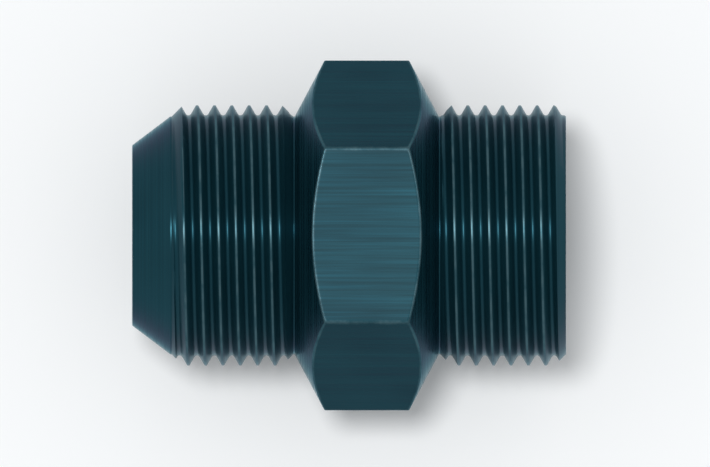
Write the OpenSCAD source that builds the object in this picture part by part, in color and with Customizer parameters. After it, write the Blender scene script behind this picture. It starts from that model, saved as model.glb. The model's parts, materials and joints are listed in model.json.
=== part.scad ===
// Pneumatic orifice valve: a one-piece fitting turned from hexagonal bar.
// A wide bore runs in from the coned inlet end. It stops short of the outlet
// face, and a small orifice through the web that is left meters the flow.
// Both ends carry the same right-hand external thread.
//
// The axis lies along X, inlet at -X and outlet at +X. The valve rests on one
// flat of its hexagon: z = 0 is that flat, and x = 0 is half the length.

/* [Lengths] */
// Inlet face to the foot of the collar
inlet_end_length = 11.9; // [9:0.1:20]
// Width of the collar between its two feet, where its side faces start
collar_width = 10.55; // [9:0.05:16]
// Foot of the collar to the outlet face
outlet_end_length = 9.3; // [6:0.1:18]

/* [Collar] */
// Wrench size of the hexagon, across its flats
hex_across_flats = 22.225; // [21:0.025:27]
// Lean of the collar's side faces from square to the axis, in degrees
collar_face_angle = 28; // [20:1:32]

/* [Threads] */
// Outside diameter of both threads
thread_d = 19.05; // [16:0.05:20]
// Distance from crest to crest
thread_pitch = 1.27; // [0.8:0.01:1.8]
// How far the grooves and end chamfers go below the thread's root
relief_below_root = 0.09; // [0.05:0.01:0.3]
// Width of the flat bottom between a thread and the cone beside it
groove_flat = 0.1; // [0.05:0.01:0.6]
// Inlet face to the first crest, measured on the +Y side
inlet_first_crest = 3.48; // [3:0.01:5]
// Outlet face to the first crest, measured on the +Y side
outlet_first_crest = 0.84; // [0.5:0.01:2]

/* [Inlet nose] */
// Diameter of the flat end face of the nose
nose_d = 13.2; // [10:0.1:14]
// Angle of the nose's cone from the axis, which seats a flared tube
nose_angle = 37; // [30:1:45]

/* [Passage] */
// Diameter of the inlet bore
bore_d = 7; // [4:0.1:9]
// Diameter of the metering orifice
orifice_d = 2.15; // [0.5:0.05:3.5]
// Length of the orifice, which is the thickness of the web it pierces
orifice_length = 2.5; // [1:0.1:5]
// Chamfer at the mouths of the bore and the orifice
mouth_chamfer = 0.12; // [0.05:0.01:0.4]

/* [Hidden] */

// Round surfaces
$fn = 96;

// Straight steps in one turn of the thread
turn_steps = 48;

// A 60 degree thread with a rounded root. Its depth and the flat on its crest
// are shares of the pitch.
flank_slope = tan(60);
depth_share = 0.577;
crest_share = 1 / 8;
thread_depth = depth_share * thread_pitch;
thread_r = thread_d / 2;
root_r = thread_r - thread_depth;
relief_r = root_r - relief_below_root;

// Three flats stand for the root's arc. The sloping two start this share of the
// depth above the bottom, and the bottom flat is this share of their width.
corner_share = 0.1;
root_share = 0.55;

// Half widths of the thread groove: at the crest, where each flank turns into
// the root, and of the flat bottom of the root
crest_half = thread_pitch * (1 - crest_share) / 2;
corner_r = root_r + corner_share * thread_depth;
corner_half = crest_half - (thread_r - corner_r) / flank_slope;
root_half = root_share * corner_half;

// Points in the outline of one groove
groove_points = 8;

valve_length = inlet_end_length + collar_width + outlet_end_length;
collar_end = inlet_end_length + collar_width;
bore_depth = valve_length - orifice_length;
nose_length = (relief_r - nose_d / 2) / tan(nose_angle);

// The round core ends inside the web, between the bore and the outlet face
core_end = valve_length - orifice_length / 2;

// The collar's outline goes a little past the bar's corners, so that its side
// faces cut all six of them
turning_margin = 0.5;
hex_corner_r = hex_across_flats / 2 / cos(30);
collar_r = hex_corner_r + turning_margin;
collar_face_run = (collar_r - relief_r) * tan(collar_face_angle);

// The flat sides of a threaded end just enclose the round core, with this gap
core_gap = 0.001;
thread_end_r = relief_r / cos(180 / turn_steps) + core_gap;

// How far a cutting tool reaches past the metal it cuts
over = 1;

function clamp(x, low, high) = max(low, min(x, high));

// Radius of the blank between low and high, with a 45 degree chamfer at each
function blank_radius(x, low, high) =
    min(thread_r, thread_end_r + min(x - low, high - x));

// Radius of the groove's flank at an offset from the groove's middle
function flank_radius(offset) = thread_r - (crest_half - offset) * flank_slope;

// Offset at which a flank of the groove meets the chamfer nearest to it. side
// is -1 for the flank before the groove's middle and 1 for the one after it.
function chamfer_cut(middle, side, low, high) =
    let (
        inward = min(middle - low, high - middle),
        chamfer_slope = inward == middle - low ? side : -side,
        rise = thread_end_r + inward - thread_r + crest_half * flank_slope
    )
    clamp(rise / (flank_slope - chamfer_slope), corner_half, crest_half);

// Outline of one groove from crest to crest: [distance along the axis, radius]
function groove_outline(middle, low, high) =
    let (
        before = chamfer_cut(middle, -1, low, high),
        after = chamfer_cut(middle, 1, low, high)
    )
    [
        for (point = [
            [-crest_half, flank_radius(crest_half)],
            [-before, flank_radius(before)],
            [-corner_half, flank_radius(corner_half)],
            [-root_half, root_r],
            [root_half, root_r],
            [corner_half, flank_radius(corner_half)],
            [after, flank_radius(after)],
            [crest_half, flank_radius(crest_half)]
        ])
        let (x = clamp(middle + point[0], low, high))
        [x, min(point[1], blank_radius(x, low, high))]
    ];

// Points coincide where a turn runs past the end, or no chamfer cuts its flank
function has_area(p) = p[0] != p[1] && p[1] != p[2] && p[2] != p[0];

// A right-hand thread between low and high, chamfered at both ends, with a
// crest on the +Y side at x = crest. Each turn's outline joins the next one's.
module threaded_end(crest, low, high) {
    first_turn = floor((low - crest) / thread_pitch) - 1;
    last_turn = ceil((high - crest) / thread_pitch);
    rows = groove_points * (last_turn - first_turn + 1);
    points = [
        for (step = [0:turn_steps])
            let (angle = 360 * step / turn_steps)
            for (turn = [first_turn:last_turn])
                let (middle = crest + thread_pitch * (turn + 0.5 + step / turn_steps))
                for (point = groove_outline(middle, low, high))
                    [point[0], point[1] * cos(angle), point[1] * sin(angle)]
    ];
    surface = [
        for (step = [0:turn_steps - 1])
            for (row = [0:rows - 2])
                let (a = step * rows + row, b = a + rows)
                for (face = [[a, a + 1, b + 1], [a, b + 1, b]])
                    if (has_area([for (i = face) points[i]]))
                        face
    ];
    low_end = [for (step = [0:turn_steps - 1]) step * rows];
    high_end = [for (step = [turn_steps - 1:-1:0]) step * rows + rows - 1];
    polyhedron(points, concat(surface, [low_end, high_end]), convexity = 20);
}

// The hexagonal bar turned down to the nose, the core that carries the threads,
// and the collar with its sloping side faces. One flat of the bar faces down.
module turned_bar() {
    rotate([0, 90, 0])
        intersection() {
            rotate_extrude()
                polygon([
                    [0, 0],
                    [nose_d / 2, 0],
                    [relief_r, nose_length],
                    [relief_r, inlet_end_length],
                    [collar_r, inlet_end_length + collar_face_run],
                    [collar_r, collar_end - collar_face_run],
                    [relief_r, collar_end],
                    [relief_r, core_end],
                    [0, core_end]
                ]);
            translate([0, 0, -over])
                rotate(30)
                    cylinder(r = hex_corner_r, h = valve_length + 2 * over, $fn = 6);
        }
}

// The bore, the orifice and the chamfers at their mouths
module passage() {
    rotate([0, 90, 0])
        rotate_extrude()
            polygon([
                [0, -over],
                [bore_d / 2 + mouth_chamfer + over, -over],
                [bore_d / 2, mouth_chamfer],
                [bore_d / 2, bore_depth],
                [orifice_d / 2, bore_depth],
                [orifice_d / 2, valve_length - mouth_chamfer],
                [orifice_d / 2 + mouth_chamfer + over, valve_length + over],
                [0, valve_length + over]
            ]);
}

module orifice_valve_body() {
    color([0.07, 0.24, 0.30])
        translate([-valve_length / 2, 0, hex_across_flats / 2])
            difference() {
                union() {
                    turned_bar();
                    threaded_end(
                        inlet_first_crest,
                        nose_length + groove_flat,
                        inlet_end_length - groove_flat
                    );
                    threaded_end(
                        valve_length - outlet_first_crest,
                        collar_end + groove_flat,
                        valve_length
                    );
                }
                passage();
            }
}

orifice_valve_body();
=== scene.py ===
# %% [markdown]
# # A pneumatic orifice valve in Blender
#
# The valve is one piece of metal, turned from hexagonal bar. Air enters a wide
# bore at the coned end and leaves through a small orifice at the other. This
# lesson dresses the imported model: it gives the body fine threads and rounded
# edges, a dark teal anodised finish, and bare machined metal in the passage.

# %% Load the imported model
import json
import math

import bmesh
import bpy
import numpy as np
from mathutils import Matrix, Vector


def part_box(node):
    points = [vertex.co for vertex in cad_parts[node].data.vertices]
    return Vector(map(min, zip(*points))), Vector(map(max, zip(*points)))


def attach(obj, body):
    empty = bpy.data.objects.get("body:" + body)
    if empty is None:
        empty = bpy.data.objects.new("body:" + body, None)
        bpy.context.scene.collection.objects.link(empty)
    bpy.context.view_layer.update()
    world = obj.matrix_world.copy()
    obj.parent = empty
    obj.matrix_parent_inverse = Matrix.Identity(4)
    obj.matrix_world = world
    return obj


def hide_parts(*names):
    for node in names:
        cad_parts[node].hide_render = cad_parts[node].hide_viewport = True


NODE = "orifice_valve_body"
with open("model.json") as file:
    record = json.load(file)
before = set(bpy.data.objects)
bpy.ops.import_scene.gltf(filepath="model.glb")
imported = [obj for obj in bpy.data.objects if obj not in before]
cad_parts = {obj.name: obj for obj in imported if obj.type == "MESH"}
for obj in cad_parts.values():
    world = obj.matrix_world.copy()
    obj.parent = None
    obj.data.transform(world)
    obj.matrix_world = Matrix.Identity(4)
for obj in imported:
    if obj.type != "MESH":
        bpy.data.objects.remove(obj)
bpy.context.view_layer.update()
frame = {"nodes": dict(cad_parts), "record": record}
print("nodes:", sorted(frame["nodes"]))

# %% [markdown]
# ## Sizes
#
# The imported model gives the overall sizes: its box holds the length and the
# hexagon, and its record holds the two bores. What the box can't tell, such as
# the thread's pitch, is named in millimetres. A designer works this way round so
# that the dressed body can't drift away from the model it stands for.

# %% Read the sizes
MM = 0.001
low_corner, high_corner = (Vector(corner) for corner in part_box(NODE))
mounts = {mount["name"]: mount for mount in frame["record"]["mounts"]}

INLET_X, OUTLET_X = low_corner.x, high_corner.x
HEX_FLAT = (high_corner.z - low_corner.z) / 2
AXIS_Z = (high_corner.z + low_corner.z) / 2

BORE_R = mounts["inlet_bore"]["dims"]["r_mm"] * MM
ORIFICE_R = mounts["outlet_orifice"]["dims"]["r_mm"] * MM
MOUTH_CHAMFER = 0.12 * MM
WEB_X = INLET_X + MOUTH_CHAMFER + mounts["inlet_bore"]["dims"]["length_mm"] * MM

print(f"length {(OUTLET_X - INLET_X) / MM:.2f} mm, hexagon {2 * HEX_FLAT / MM:.3f} mm")
print(f"bore {2 * BORE_R / MM:.2f} mm, orifice {2 * ORIFICE_R / MM:.2f} mm")

# %% Sizes that the box can't tell
THREAD_R = 9.525 * MM
PITCH = 1.27 * MM
INLET_FIRST_CREST, OUTLET_FIRST_CREST = 3.48 * MM, 0.84 * MM

# The usual depth of a thread whose root is one arc
THREAD_DEPTH = 0.577 * PITCH
ROOT_R = THREAD_R - THREAD_DEPTH

# The grooves beside the threads and the chamfers at their ends go below the roots
RELIEF_R = ROOT_R - 0.09 * MM
RELIEF_DEPTH = THREAD_R - RELIEF_R
GROOVE_FLAT = 0.1 * MM

NOSE_R, NOSE_ANGLE = 6.6 * MM, math.radians(37)
INLET_END, OUTLET_END = 11.9 * MM, 9.3 * MM
COLLAR_LEAN = math.tan(math.radians(28))

CONE_END_X = INLET_X + (RELIEF_R - NOSE_R) / math.tan(NOSE_ANGLE)
INLET_GROOVE_X = INLET_X + INLET_END
OUTLET_GROOVE_X = OUTLET_X - OUTLET_END
print(f"the cone ends {(CONE_END_X - INLET_X) / MM:.2f} mm from the inlet face")
print(f"the collar's feet are {(OUTLET_GROOVE_X - INLET_GROOVE_X) / MM:.2f} mm apart")

# %% [markdown]
# ## One grid for the whole body
#
# A lathe part is often made with a Screw or Spin of its outline, and its thread
# with a boolean. Booleans leave long thin faces where the thread meets the
# chamfers, and they shade badly. Here the body is one grid instead. Rays run
# round the axis, rows run along the outline, and each row may change its place
# from ray to ray: straight for a turned ring, wavy for the hexagon's edge, and
# slanted for the thread's helix. Every edge of the real part is then a row or a
# ray of the grid.

# %% Rays round the axis
RAY_STEP = 1.5
HALF_SIDE = math.radians(30)
HEX_EDGE_R = 0.2 * MM
HEX_ARC_CENTRE = (HEX_FLAT - HEX_EDGE_R) / math.cos(HALF_SIDE)


def hexagon_edge_angle():
    """Degrees from the middle of a rounded corner of the hexagon to its end."""
    side = HEX_EDGE_R * math.sin(HALF_SIDE)
    along = HEX_ARC_CENTRE + HEX_EDGE_R * math.cos(HALF_SIDE)
    return math.degrees(math.atan2(side, along))


HEX_EDGE_ANGLE = hexagon_edge_angle()
corner_rays = [
    corner + part * HEX_EDGE_ANGLE
    for corner in range(0, 361, 60)
    for part in (-1, -0.5, 0.5, 1)
    if 0 <= corner + part * HEX_EDGE_ANGLE <= 360
]
rays = np.array(sorted([*np.arange(0, 360 + RAY_STEP / 2, RAY_STEP), *corner_rays]))
turn = rays / 360
print(len(rays), "rays round the axis")

# %% [markdown]
# ## Rings and the hexagon's edge
#
# A turned ring has one radius all round. The hexagon's radius changes from ray
# to ray: a flat's distance divided by the cosine, and a small arc over each of
# the six corners, where the bar's edges are rounded.

# %% Rows of the grid


def ring(x, radius):
    """A row with the same place along the axis and the same radius on every ray."""
    return np.stack([np.full(len(rays), x), np.full(len(rays), radius)], axis=1)


def hexagon_radius():
    """The bar's radius on every ray, with its six corners rounded."""
    flat = HEX_FLAT / np.cos(HALF_SIDE - abs(from_corner))
    across = HEX_ARC_CENTRE * np.sin(from_corner)
    rise = np.sqrt(np.maximum(HEX_EDGE_R**2 - across**2, 0))
    arc = HEX_ARC_CENTRE * np.cos(from_corner) + rise
    near = abs(from_corner) < math.radians(HEX_EDGE_ANGLE)
    return np.where(near, arc, flat)


from_corner = np.radians((rays + 30) % 60 - 30)
hex_r = hexagon_radius()
flank_run = (hex_r - RELIEF_R) * COLLAR_LEAN
inlet_edge = np.stack([INLET_GROOVE_X + flank_run, hex_r], axis=1)
outlet_edge = np.stack([OUTLET_GROOVE_X - flank_run, hex_r], axis=1)
print(f"hexagon's corners at {hex_r.max() / MM:.2f} mm from the axis")

# %% [markdown]
# ## Rounded edges
#
# No machined edge is perfectly sharp, and the thin line of light along it tells
# the eye that the part is real. A Bevel modifier could round every edge, but it
# would also touch the thread. Each corner of the outline gets its own arc here,
# from three rows: the corner and the rows before and after it.

# %% Round a corner of the outline


def unit(vectors):
    return vectors / np.linalg.norm(vectors, axis=1, keepdims=True)


def rounded(before, corner, after, radius, steps=3):
    """Rows along an arc of that radius, in place of a corner of the outline."""
    back, ahead = unit(before - corner), unit(after - corner)
    half = np.arccos(np.clip((back * ahead).sum(1, keepdims=True), -1, 1)) / 2
    centre = corner + unit(back + ahead) * radius / np.sin(half)
    first = unit(corner + back * radius / np.tan(half) - centre)
    last = unit(corner + ahead * radius / np.tan(half) - centre)
    sweep = math.pi - 2 * half
    rows = []
    for part in np.linspace(0, 1, steps + 1):
        blend = np.sin((1 - part) * sweep) * first + np.sin(part * sweep) * last
        rows.append(centre + radius * blend / np.sin(sweep))
    return rows


right_angle = [np.array([point]) for point in ((0, 1), (0, 0), (1, 0))]
middle = rounded(*right_angle, radius=1, steps=2)[1]
print(f"a right angle rounded to 1 keeps {np.linalg.norm(middle):.3f} off its corner")

# %% [markdown]
# ## The thread
#
# This is a 60 degree thread. Its crest keeps a flat an eighth of the pitch wide,
# and one arc fills its root, as on aircraft fittings, where a sharp root would
# start a crack. A row of the grid follows each line of the groove round the
# axis and moves one pitch a turn, so the last ray of one turn meets the first
# ray of the next. Where a chamfer cuts the thread, the row drops to its cone.

# %% Outline of one groove
FLANK_SLOPE = math.tan(math.radians(60))
CREST_FLAT = PITCH / 8
CREST_HALF = (PITCH - CREST_FLAT) / 2
ROOT_ARC = FLANK_SLOPE * CREST_HALF - THREAD_DEPTH
ROOT_ANGLES = np.radians([60, 40, 20])

# Three points of the tiny arc that breaks the crest's edge: (outward, down)
CREST_BREAK = 0.02 * MM
CREST_ARC = CREST_BREAK * np.array([(1, 0), (0.1, 0.25), (-0.5, 0.87)])


def flank_radius(offset):
    """Radius of the groove's flank at an offset from the groove's middle."""
    return THREAD_R - (CREST_HALF - offset) * FLANK_SLOPE


root_offsets = ROOT_ARC * np.sin(ROOT_ANGLES)
root_radii = ROOT_R + ROOT_ARC * (1 - np.cos(ROOT_ANGLES))
crest_offsets = CREST_HALF + CREST_ARC[:, 0]
crest_radii = THREAD_R - CREST_ARC[:, 1]
print(f"thread {THREAD_DEPTH / MM:.2f} mm deep, root arc {ROOT_ARC / MM:.2f} mm")

# %% Rows of a threaded end


def blank_radius(x, start, end):
    """The turned blank between start and end, with a 45 degree chamfer at each."""
    return np.minimum(THREAD_R, RELIEF_R + np.minimum(x - start, end - x))


def chamfer_cut(middle, side, start, end):
    """Offset at which a flank of the groove meets the chamfer nearest to it."""
    inward = np.minimum(middle - start, end - middle)
    chamfer_slope = np.where(middle - start < end - middle, side, -side)
    rise = RELIEF_R + inward - THREAD_R + CREST_HALF * FLANK_SLOPE
    cut = rise / (FLANK_SLOPE - chamfer_slope)
    return np.clip(cut, root_offsets[0], crest_offsets[-1])


def groove_rows(middle, start, end):
    """(offset, radius) for the rows of one groove, from crest to crest."""
    rows = []
    for side in (-1, 1):
        cut = chamfer_cut(middle, side, start, end)
        half = [*zip(crest_offsets, crest_radii), (cut, flank_radius(cut))]
        half += zip(root_offsets, root_radii)
        half = [(side * offset, radius) for offset, radius in half]
        rows += [*half, (0, ROOT_R)] if side < 0 else reversed(half)
    return rows


def threaded_rows(crest, start, end, first_x, last_x):
    """Rows of a right-hand thread with a crest at x = crest on the first ray."""
    made = []
    first_turn = math.floor((start - crest) / PITCH) - 1
    last_turn = math.ceil((end - crest) / PITCH)
    for number in range(first_turn, last_turn + 1):
        middle = crest + PITCH * (number + 0.5 + turn)
        for offset, radius in groove_rows(middle, start, end):
            x = np.clip(middle + offset, first_x, last_x)
            radius_here = np.minimum(radius, blank_radius(x, start, end))
            made.append(np.stack([x, radius_here], axis=1))
    return made


print(len(groove_rows(INLET_X + PITCH * turn, INLET_X, OUTLET_X)), "rows in a groove")

# %% [markdown]
# ## The outline, from the inlet round to the passage
#
# The rows are now put in order, as a finger would trace the section: over the
# nose, along the first thread, up and over the collar, along the second thread,
# across the outlet face, and back through the orifice and the bore. Each stretch
# names its finish. Each row also says how much hands, nuts and wrenches rub it,
# so that the material can show lighter metal there. A row without wear lies
# close to each worn edge, or the wear would spread over the whole face. Such a
# row lies beside the fillets too, so that their shading stays within them.

# %% Corners of the outline
NOSE_EDGE, COLLAR_EDGE = 0.1 * MM, 0.12 * MM
GROOVE_FILLET, OUTLET_EDGE = 0.095 * MM, 0.08 * MM

mouth = ring(INLET_X, BORE_R + MOUTH_CHAMFER)
nose_edge = ring(INLET_X, NOSE_R)
cone_end = ring(CONE_END_X, RELIEF_R)
INLET_THREAD = (CONE_END_X + GROOVE_FLAT, INLET_GROOVE_X - GROOVE_FLAT)
OUTLET_THREAD = (OUTLET_GROOVE_X + GROOVE_FLAT, OUTLET_X)

inlet_thread_end = ring(INLET_THREAD[1] - RELIEF_DEPTH, THREAD_R)
inlet_foot = ring(INLET_THREAD[1], RELIEF_R)
inlet_groove = ring(INLET_GROOVE_X, RELIEF_R)
outlet_groove = ring(OUTLET_GROOVE_X, RELIEF_R)
outlet_foot = ring(OUTLET_THREAD[0], RELIEF_R)
outlet_thread_end = ring(OUTLET_THREAD[0] + RELIEF_DEPTH, THREAD_R)
outlet_chamfer = ring(OUTLET_X - RELIEF_DEPTH, THREAD_R)
face_edge = ring(OUTLET_X, RELIEF_R)
orifice_mouth = ring(OUTLET_X, ORIFICE_R + MOUTH_CHAMFER)
for name, (start, end) in {"inlet": INLET_THREAD, "outlet": OUTLET_THREAD}.items():
    print(f"the {name} thread is {(end - start) / MM:.2f} mm long")

# %% Arcs of the outline
inlet_fillet = rounded(inlet_thread_end, inlet_foot, inlet_groove, GROOVE_FILLET)
inlet_fillet += rounded(inlet_foot, inlet_groove, inlet_edge, GROOVE_FILLET)
outlet_fillet = rounded(outlet_edge, outlet_groove, outlet_foot, GROOVE_FILLET)
outlet_fillet += rounded(outlet_groove, outlet_foot, outlet_thread_end, GROOVE_FILLET)
nose_arc = rounded(mouth, nose_edge, cone_end, NOSE_EDGE)
inlet_arc = rounded(inlet_groove, inlet_edge, outlet_edge, COLLAR_EDGE, 4)
outlet_arc = rounded(inlet_edge, outlet_edge, outlet_groove, COLLAR_EDGE, 4)
face_arc = rounded(outlet_chamfer, face_edge, orifice_mouth, OUTLET_EDGE)
print(len(inlet_arc), "rows round an edge of the collar,", len(nose_arc), "at the nose")

# %% Wear
NOSE_WEAR, COLLAR_WEAR, OUTLET_WEAR = 0.7, 1.0, 0.6
CREST_WEAR_DEPTH = 0.02 * MM
HEX_WEAR_ANGLE = math.radians(1.6)
WEAR_REACH = 0.14 * MM

hex_wear = np.clip(1 - abs(from_corner) / HEX_WEAR_ANGLE, 0, 1)
print(np.count_nonzero(hex_wear), "rays carry the wear of the hexagon's corners")


def crest_wear(row):
    """Wear of a thread's row. It fades out a little way below the crests."""
    return np.clip(1 - (THREAD_R - row[:, 1]) / CREST_WEAR_DEPTH, 0, 1)


def toward(row, goal):
    """A row a little way from one to another, where its wear or its bend ends."""
    return row + unit(goal - row) * WEAR_REACH


# %% Put the rows in order
TURNED, BAR_FLAT, THREAD, PASSAGE = range(4)
rows, wear, finishes = [], [], []


def add(new_rows, finish, rub=0.0):
    """Adds rows. The band after each has that finish; rub is one wear or a list."""
    new_wear = rub if isinstance(rub, list) else [rub] * len(new_rows)
    rows.extend(new_rows)
    finishes.extend([finish] * len(new_rows))
    wear.extend(np.broadcast_to(row_wear, len(rays)) for row_wear in new_wear)


def add_thread(crest, span, first_x, last_x):
    """Adds a threaded end. span is where its chamfers start and end."""
    new_rows = threaded_rows(crest, *span, first_x, last_x)
    add(new_rows, THREAD, [crest_wear(row) for row in new_rows])


add([mouth, toward(nose_arc[0], mouth)], TURNED)
add(nose_arc, TURNED, NOSE_WEAR)
add([toward(nose_arc[-1], cone_end), cone_end], TURNED)
add_thread(INLET_X + INLET_FIRST_CREST, INLET_THREAD,
           INLET_THREAD[0], inlet_fillet[0][0, 0])
add([*inlet_fillet, toward(inlet_fillet[-1], inlet_edge)], TURNED)
add([toward(inlet_arc[0], inlet_groove)], TURNED)
add(inlet_arc[:-1], TURNED, COLLAR_WEAR)
add(inlet_arc[-1:], BAR_FLAT, COLLAR_WEAR)
add([toward(inlet_arc[-1], outlet_edge)], BAR_FLAT, [hex_wear])
add([toward(outlet_arc[0], inlet_edge)], BAR_FLAT, [hex_wear])
add(outlet_arc, TURNED, COLLAR_WEAR)
add([toward(outlet_arc[-1], outlet_groove)], TURNED)
add([toward(outlet_fillet[0], outlet_edge), *outlet_fillet], TURNED)
add_thread(OUTLET_X - OUTLET_FIRST_CREST, OUTLET_THREAD,
           outlet_fillet[-1][0, 0], face_arc[0][0, 0])
add(face_arc, TURNED, OUTLET_WEAR)
add([toward(face_arc[-1], orifice_mouth)], TURNED)
add([orifice_mouth, ring(OUTLET_X - MOUTH_CHAMFER, ORIFICE_R)], PASSAGE)
add([ring(WEB_X, ORIFICE_R), ring(WEB_X, BORE_R)], PASSAGE)
add([ring(INLET_X + MOUTH_CHAMFER, BORE_R), mouth], PASSAGE)
print(len(rows), "rows along the outline")

# %% [markdown]
# ## From rows to a mesh
#
# Neighbouring rows and rays give four-sided faces. Rows that lie on top of each
# other, and the first and last ray, are welded. The mesh is unwrapped as it is
# made: the rays give one direction of the map and the length along the outline
# gives the other, so the whole body is one rectangle with no overlap. The map
# is named OFBake. The map bears the name that the export gives its own, so that
# it can bake into it.

# %% Build the mesh
WELD = 0.0002 * MM
MAP_NAME = "OFBake"


def outline_lengths(places):
    """How far along the outline each point lies, from 0 to 1 on every ray."""
    steps = np.linalg.norm(np.diff(places, axis=0), axis=2)
    lengths = np.vstack([np.zeros(len(rays)), np.cumsum(steps, axis=0)])
    return lengths / lengths[-1]


def grid_mesh(name, places):
    """A mesh with a vertex for each row and ray, and a face in each cell."""
    count, width = places.shape[:2]
    angle = np.radians(rays)
    x, radius = places[..., 0], places[..., 1]
    y, z = radius * np.cos(angle), AXIS_Z + radius * np.sin(angle)
    points = np.stack([x, y, z], axis=2)
    cell = np.arange(count * width).reshape(count, width)
    corners = [cell[:-1, :-1], cell[1:, :-1], cell[1:, 1:], cell[:-1, 1:]]
    faces = np.stack(corners, axis=2).reshape(-1, 4)
    mesh = bpy.data.meshes.new(name)
    mesh.from_pydata(points.reshape(-1, 3).tolist(), [], faces.tolist())
    return mesh, faces


def dress_mesh(mesh, faces, places):
    """Adds the map, the wear and the finish of each face."""
    along = outline_lengths(places)
    spots = np.stack([np.broadcast_to(turn, along.shape), along], axis=2).reshape(-1, 2)
    layer = mesh.uv_layers.new(name=MAP_NAME)
    layer.data.foreach_set("uv", spots[faces.ravel()].ravel())
    rub = mesh.attributes.new("wear", "FLOAT", "POINT")
    rub.data.foreach_set("value", np.stack(wear).ravel())
    finish = np.repeat(finishes[:-1], len(rays) - 1)
    mesh.polygons.foreach_set("material_index", finish)


def weld(mesh):
    """Joins the vertices that coincide, and turns every face outward."""
    work = bmesh.new()
    work.from_mesh(mesh)
    bmesh.ops.remove_doubles(work, verts=work.verts, dist=WELD)
    bmesh.ops.recalc_face_normals(work, faces=work.faces)
    open_edges = sum(not edge.is_manifold for edge in work.edges)
    volume = work.calc_volume()
    work.to_mesh(mesh)
    work.free()
    print(f"{open_edges} open edges, {volume / MM**3:.0f} cubic millimetres")


places = np.stack(rows)
body_mesh, cells = grid_mesh("valve_body", places)
dress_mesh(body_mesh, cells, places)
weld(body_mesh)
triangles = sum(len(face.vertices) - 2 for face in body_mesh.polygons)
print(triangles, "triangles in the body")

# %% [markdown]
# ## Smooth where it was turned, crisp where it was cut
#
# Smooth shading hides the small faces of the rings, and edges sharper than 35
# degrees stay crisp. The Weighted Normal modifier lets large faces set the
# shading, so the hexagon's flats stay flat up to their rounded edges.

# %% Shade the body
SHARP_EDGE = math.radians(35)

body_mesh.shade_smooth()
body_mesh.set_sharp_from_angle(angle=SHARP_EDGE)
valve = bpy.data.objects.new("valve_body", body_mesh)
bpy.context.scene.collection.objects.link(valve)
normals = valve.modifiers.new("flat faces", "WEIGHTED_NORMAL")
normals.keep_sharp = True

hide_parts(NODE)
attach(valve, "root")
print("valve body in place")

# %% [markdown]
# ## Small helpers for materials
#
# Materials are node trees. Four helpers keep them short: they make a node and
# set or link its inputs, map a value from one range to another, mix two colours,
# and start a new material.

# %% Node helpers


def place_node(tree, kind, inputs=None, **settings):
    """Makes a node. Each input is a value, or the output of another node."""
    made = tree.nodes.new(kind)
    for name, value in settings.items():
        setattr(made, name, value)
    for name, value in (inputs or {}).items():
        if isinstance(value, bpy.types.NodeSocket):
            tree.links.new(value, made.inputs[name])
        else:
            made.inputs[name].default_value = value
    return made


def between(tree, value, low, high, to_low, to_high):
    """Maps a value from one range to another and stops at its ends."""
    made = place_node(tree, "ShaderNodeMapRange", {"Value": value}, clamp=True)
    for name, number in zip(("From Min", "From Max", "To Min", "To Max"),
                            (low, high, to_low, to_high)):
        made.inputs[name].default_value = number
    return made.outputs["Result"]


def mixed(tree, factor, first, second):
    """Mixes two colours. Each is a colour, or the output of another node."""
    made = tree.nodes.new("ShaderNodeMix")
    made.data_type = "RGBA"
    sockets = {"Factor": made.inputs[0], "A": made.inputs[6], "B": made.inputs[7]}
    for name, value in (("Factor", factor), ("A", first), ("B", second)):
        if isinstance(value, bpy.types.NodeSocket):
            tree.links.new(value, sockets[name])
        else:
            sockets[name].default_value = value
    return made.outputs[2]


def new_material(name):
    """A material with its tree, its shader, and the object's coordinates."""
    made = bpy.data.materials.new(name)
    made.use_nodes = True
    tree = made.node_tree
    shader = tree.nodes["Principled BSDF"]
    place = place_node(tree, "ShaderNodeTexCoord").outputs["Object"]
    return made, tree, shader, place


# %% [markdown]
# ## Marks of the tool
#
# A turning tool leaves fine rings round the axis. They depend only on the place
# along the axis and the distance from it, so noise of those two numbers makes
# perfect rings on cylinders, cones and faces alike. On a thread the tool moves
# along with the helix, so its marks keep their height on the flank, and noise of
# the distance alone follows them. Bar stock carries drawn lines along its
# length instead, which is noise stretched along X.

# %% Rings, thread marks and drawn lines


def noise(tree, vector, scale, detail=2.0, roughness=0.5):
    made = place_node(tree, "ShaderNodeTexNoise", {
        "Vector": vector, "Scale": scale, "Detail": detail, "Roughness": roughness})
    return made.outputs["Fac"]


def spread(tree, value, to_low, to_high, reach=0.2):
    """Maps noise to a range. Most of it lies within reach of 0.5."""
    return between(tree, value, 0.5 - reach, 0.5 + reach, to_low, to_high)


def ring_place(tree, place, along=1.0):
    """(place along the axis, distance from the axis, 0), for rings round the axis."""
    parts = place_node(tree, "ShaderNodeSeparateXYZ", {"Vector": place}).outputs
    height = place_node(tree, "ShaderNodeMath", {0: parts["Z"], 1: AXIS_Z},
                        operation="SUBTRACT").outputs[0]
    across = place_node(tree, "ShaderNodeCombineXYZ", {"X": parts["Y"], "Y": height})
    radius = place_node(tree, "ShaderNodeVectorMath", {0: across.outputs[0]},
                        operation="LENGTH").outputs["Value"]
    run = place_node(tree, "ShaderNodeMath", {0: parts["X"], 1: along},
                     operation="MULTIPLY").outputs[0]
    both = place_node(tree, "ShaderNodeCombineXYZ", {"X": run, "Y": radius})
    return both.outputs[0]


def thread_place(tree, place):
    """Only the distance from the axis, for marks that follow the helix."""
    return ring_place(tree, place, along=0.0)


def line_place(tree, place):
    """The object's coordinates, squeezed fifty times along the axis."""
    return place_node(tree, "ShaderNodeMapping", {
        "Vector": place, "Scale": (0.02, 1, 1)}).outputs[0]


def bump(tree, height, distance):
    return place_node(tree, "ShaderNodeBump", {
        "Height": height, "Distance": distance}).outputs["Normal"]


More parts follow.
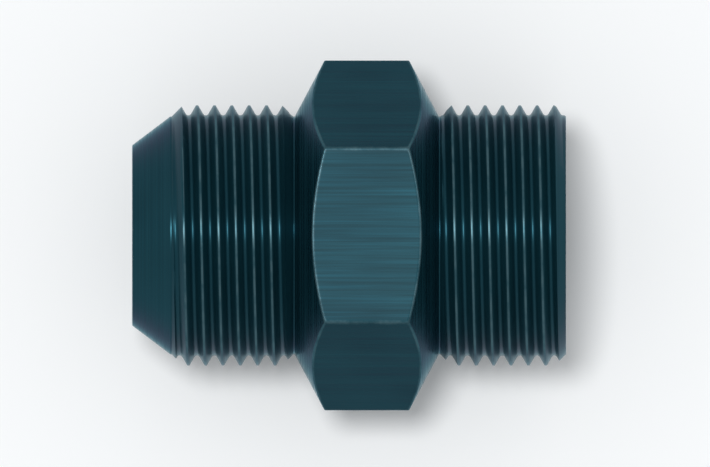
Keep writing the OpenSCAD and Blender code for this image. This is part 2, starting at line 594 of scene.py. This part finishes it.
# %% [markdown]
# ## Dark teal anodising
#
# Anodised aluminium is metal under a thin dyed glass-like layer. A shader that
# is mostly metallic, with a dark colour, gives the metal seen through the dye.
# The part that isn't metallic is the light that the dye itself scatters. The
# thread has more of it, or its grooves would turn black. A coat gives the clear
# surface. The tool's marks show in three ways: the dye is a little deeper in
# them, they scatter light differently, and they lift the surface by about a
# hundredth of a millimetre. Marks that all run one way stretch a highlight
# across them, which is the shader's anisotropy: it takes its direction from the
# way round the X axis, which is the valve's own axis. Crests and corners are
# rubbed a little lighter. Paint could show the wear, but noise and the rows'
# wear give it too, and keep it at the edges wherever they lie.

# %% Dye and wear
DYE_DEEP = (0.002, 0.021, 0.032, 1)
DYE_LIGHT = (0.010, 0.053, 0.070, 1)
DYE_GLANCE = (0.14, 0.45, 0.56, 1)
RUBBED = (0.085, 0.145, 0.165, 1)
MOST_RUBBED = 0.45
GAP_SCALE, RAGGED_SCALE, DRIFT_SCALE = 700, 5000, 120


def rubbed(tree, place):
    """How much dye is rubbed off. Noise gives the worn edge gaps and a ragged side."""
    worn = place_node(tree, "ShaderNodeAttribute", attribute_name="wear").outputs["Fac"]
    gaps = spread(tree, noise(tree, place, GAP_SCALE), 0.6, 1.1, reach=0.15)
    rags = noise(tree, place, RAGGED_SCALE, detail=3.0, roughness=0.6)
    ragged = spread(tree, rags, -0.1, 0.1)
    bare = place_node(tree, "ShaderNodeMath", {0: worn, 1: gaps, 2: ragged},
                      operation="MULTIPLY_ADD").outputs[0]
    return between(tree, bare, 0.35, 1.0, 0, MOST_RUBBED)


def dyed(tree, place, fine, broad):
    """The dye's colour: deeper in some marks, and it drifts a little over the body."""
    drift = noise(tree, place, DRIFT_SCALE)
    dye = mixed(tree, spread(tree, fine, 0.15, 0.75), DYE_DEEP, DYE_LIGHT)
    dye = mixed(tree, spread(tree, broad, 0, 0.4), dye, DYE_DEEP)
    dye = mixed(tree, spread(tree, drift, 0, 0.25, reach=0.1), dye, DYE_LIGHT)
    return mixed(tree, rubbed(tree, place), dye, RUBBED)


# %% Anodised finishes
COAT_WEIGHT, COAT_ROUGHNESS = 0.06, 0.22
STRETCH = 0.7
ACROSS_RINGS, ACROSS_LINES = 0.25, 0.0


def stretch_highlights(tree, shader, direction):
    """Stretches highlights. direction is in turns from the way round the axis."""
    way_round = place_node(tree, "ShaderNodeTangent", direction_type="RADIAL", axis="X")
    tree.links.new(way_round.outputs["Tangent"], shader.inputs["Tangent"])
    shader.inputs["Anisotropic"].default_value = STRETCH
    shader.inputs["Anisotropic Rotation"].default_value = direction


def anodised(name, marks, scale, depth, gloss, direction, metal):
    """The dyed finish over marks of the tool, at that scale and depth."""
    made, tree, shader, place = new_material(name)
    marks_place = marks(tree, place)
    fine = noise(tree, marks_place, scale, detail=3.0, roughness=0.6)
    broad = noise(tree, marks_place, scale / 6)
    tree.links.new(dyed(tree, place, fine, broad), shader.inputs["Base Color"])
    tree.links.new(spread(tree, fine, *gloss), shader.inputs["Roughness"])
    tree.links.new(bump(tree, fine, depth), shader.inputs["Normal"])
    shader.inputs["Metallic"].default_value = metal
    shader.inputs["Specular Tint"].default_value = DYE_GLANCE
    shader.inputs["Coat Weight"].default_value = COAT_WEIGHT
    shader.inputs["Coat Roughness"].default_value = COAT_ROUGHNESS
    stretch_highlights(tree, shader, direction)
    return made


turned = anodised("anodised_turned", ring_place, scale=4500, depth=0.012 * MM,
                  gloss=(0.18, 0.38), direction=ACROSS_RINGS, metal=0.78)
thread = anodised("anodised_thread", thread_place, scale=4500, depth=0.004 * MM,
                  gloss=(0.28, 0.38), direction=ACROSS_RINGS, metal=0.6)
bar_flat = anodised("anodised_bar_flat", line_place, scale=3600, depth=0.008 * MM,
                    gloss=(0.38, 0.64), direction=ACROSS_LINES, metal=0.78)
print("anodised finishes:", turned.name, thread.name, bar_flat.name)

# %% [markdown]
# ## Bare metal in the passage
#
# The bore and the orifice are cut after the dye, or masked from it, and show
# warm grey metal. A reamer leaves rings that are finer and shallower than the
# turning tool's, and bands where the metal is a little darker. The shader is all
# metal here, with no dye and no coat over it.

# %% Bare finish
METAL_WARM = (0.46, 0.42, 0.34, 1)
METAL_GREY = (0.62, 0.58, 0.50, 1)
REAMED_SCALE, BAND_SCALE = 5000, 700
REAMED_DEPTH = 0.0015 * MM
REAMED_GLOSS = (0.35, 0.41)


def bare_metal(name):
    made, tree, shader, place = new_material(name)
    marks = ring_place(tree, place)
    fine = noise(tree, marks, REAMED_SCALE)
    bands = spread(tree, noise(tree, marks, BAND_SCALE), 0, 1)
    colour = mixed(tree, bands, METAL_WARM, METAL_GREY)
    tree.links.new(colour, shader.inputs["Base Color"])
    tree.links.new(spread(tree, fine, *REAMED_GLOSS), shader.inputs["Roughness"])
    tree.links.new(bump(tree, fine, REAMED_DEPTH), shader.inputs["Normal"])
    shader.inputs["Metallic"].default_value = 1.0
    stretch_highlights(tree, shader, ACROSS_RINGS)
    return made


for material in (turned, bar_flat, thread, bare_metal("bare_passage")):
    body_mesh.materials.append(material)
print([material.name for material in body_mesh.materials])

# %% [markdown]
# ## Floor, light and sky
#
# The valve lies on a pale sheet. One large soft lamp far above it, a little to
# the upper left, throws the soft shadow towards the lower right, and a pale sky
# fills the rest. Both are set so that a colour renders about as it is written.
# A Sun lamp is used because it lights the sheet evenly all the way to its edge,
# and its angle alone says how soft the shadow is. The sky has two strengths: a
# lower one where it lights things, so that the shadow stays deep enough, and one
# near white where it is looked at or mirrored, so that it is as pale as the floor.

# %% Floor
FLOOR_SIZE = 3.0
FLOOR_COLOUR = (0.965, 0.98, 0.988, 1)

bpy.ops.mesh.primitive_plane_add(size=FLOOR_SIZE, location=(0, 0, 0))
floor = bpy.context.object
floor.name = "floor"
paper, paper_tree, paper_shader, _ = new_material("pale_paper")
paper_shader.inputs["Base Color"].default_value = FLOOR_COLOUR
paper_shader.inputs["Roughness"].default_value = 1.0
paper_shader.inputs["Specular IOR Level"].default_value = 0.0
floor.data.materials.append(paper)
print("floor", FLOOR_SIZE, "m wide")

# %% Sky and lamp
SKY_COLOUR = (0.98, 0.99, 1.0, 1)
SKY_STRENGTH, SKY_SEEN = 0.58, 0.96
KEY_STRENGTH = 1.42
KEY_LEAN = math.radians(5.8)
KEY_SPREAD = math.radians(12)

world = bpy.data.worlds.new("studio")
bpy.context.scene.world = world
world.use_nodes = True
sky_tree = world.node_tree
sky = sky_tree.nodes["Background"]
sky.inputs["Color"].default_value = SKY_COLOUR
light_path = place_node(sky_tree, "ShaderNodeLightPath").outputs
seen = light_path["Is Camera Ray"]
for way in ("Is Glossy Ray", "Is Transmission Ray"):
    seen = place_node(sky_tree, "ShaderNodeMath", {0: seen, 1: light_path[way]},
                      operation="MAXIMUM").outputs[0]
strength = between(sky_tree, seen, 0, 1, SKY_STRENGTH, SKY_SEEN)
sky_tree.links.new(strength, sky.inputs["Strength"])

key_light = bpy.data.lights.new("key", "SUN")
key_light.energy, key_light.angle = KEY_STRENGTH, KEY_SPREAD
key = bpy.data.objects.new("key", key_light)
key_from = Vector((-math.tan(KEY_LEAN), math.tan(KEY_LEAN), 1))
key.rotation_euler = (-key_from).to_track_quat("-Z", "Y").to_euler()
bpy.context.scene.collection.objects.link(key)
print("sky and key lamp set")

# %% [markdown]
# ## Camera
#
# The picture looks square at the axis, so the camera stands straight above the
# valve with +Y up the picture. It is a drawing, so nothing in it shrinks with
# distance, and the camera is orthographic. The frame is 710 pixels wide, and the
# valve spans 433.8 of them.

# %% Camera
FRAME_W, FRAME_H = 710, 467
DRAWN_LENGTH = 433.8
DRAWN_CENTRE = (349.05, 235.4)
CAMERA_HEIGHT = 0.25

pixel = (OUTLET_X - INLET_X) / DRAWN_LENGTH
camera_data = bpy.data.cameras.new("camera")
camera_data.type, camera_data.ortho_scale = "ORTHO", pixel * FRAME_W
camera_data.clip_start, camera_data.clip_end = 0.01, 10
camera = bpy.data.objects.new("camera", camera_data)
camera.location = (
    (FRAME_W / 2 - DRAWN_CENTRE[0]) * pixel,
    (DRAWN_CENTRE[1] - FRAME_H / 2) * pixel,
    CAMERA_HEIGHT,
)
bpy.context.scene.collection.objects.link(camera)
bpy.context.scene.camera = camera
bpy.context.scene.view_settings.view_transform = "Standard"
print(f"one pixel is {pixel / MM:.4f} mm")
